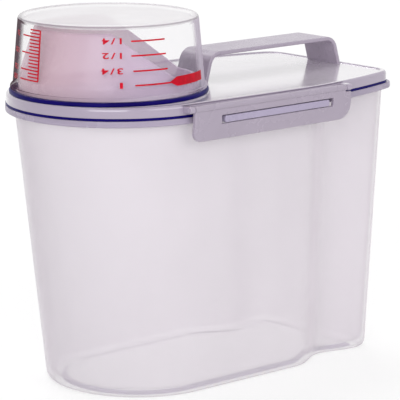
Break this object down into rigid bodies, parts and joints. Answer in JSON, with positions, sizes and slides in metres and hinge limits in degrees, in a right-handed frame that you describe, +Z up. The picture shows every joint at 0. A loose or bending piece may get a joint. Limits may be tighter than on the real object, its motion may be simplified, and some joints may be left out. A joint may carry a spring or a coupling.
{
  "type": "rice storage bin",
  "caption": "Upright plastic grain bin with a clip-down lid, a sealed round pour spout capped by a clear measuring cup, swing latches and a carry handle.",
  "frame": {"origin": "middle of the bin's box, on the surface it stands on", "axes": "+X along the bin to its handle end, +Y to the far latch, +Z up"},
  "size_m": [0.2184, 0.13, 0.1963],
  "materials": {
    "milky_plastic": "satin, milky and translucent",
    "lid_plastic": "glossy, slightly translucent",
    "clear_plastic": "clear and glossy",
    "lilac_plastic": "smooth lilac grey",
    "blue_silicone": "matt dark blue silicone"
  },
  "bodies": {
    "bin": {"container_body": "milky_plastic", "lid": "lid_plastic", "lid_seal": "blue_silicone", "pour_spout": "lid_plastic", "spout_seal": "blue_silicone", "carry_handle": "lilac_plastic", "near_hinge_rod": "lilac_plastic", "far_hinge_rod": "lilac_plastic"},
    "near_latch": {"near_latch": "lilac_plastic"},
    "far_latch": {"far_latch": "lilac_plastic"},
    "cup": {"measuring_cup": "clear_plastic"}
  },
  "joints": [
    {"name": "near_latch_hinge", "type": "hinge", "parent": "bin", "child": "near_latch", "pos_m": [0, -0.0633, 0.1534], "axis": [-1, 0, 0], "range_deg": [0, 170]},
    {"name": "far_latch_hinge", "type": "hinge", "parent": "bin", "child": "far_latch", "pos_m": [0, 0.0633, 0.1534], "axis": [1, 0, 0], "range_deg": [0, 170]},
    {"name": "cup_lift", "type": "slide", "parent": "bin", "child": "cup", "axis": [0, 0, 1], "range_m": [0, 0.06]}
  ]
}
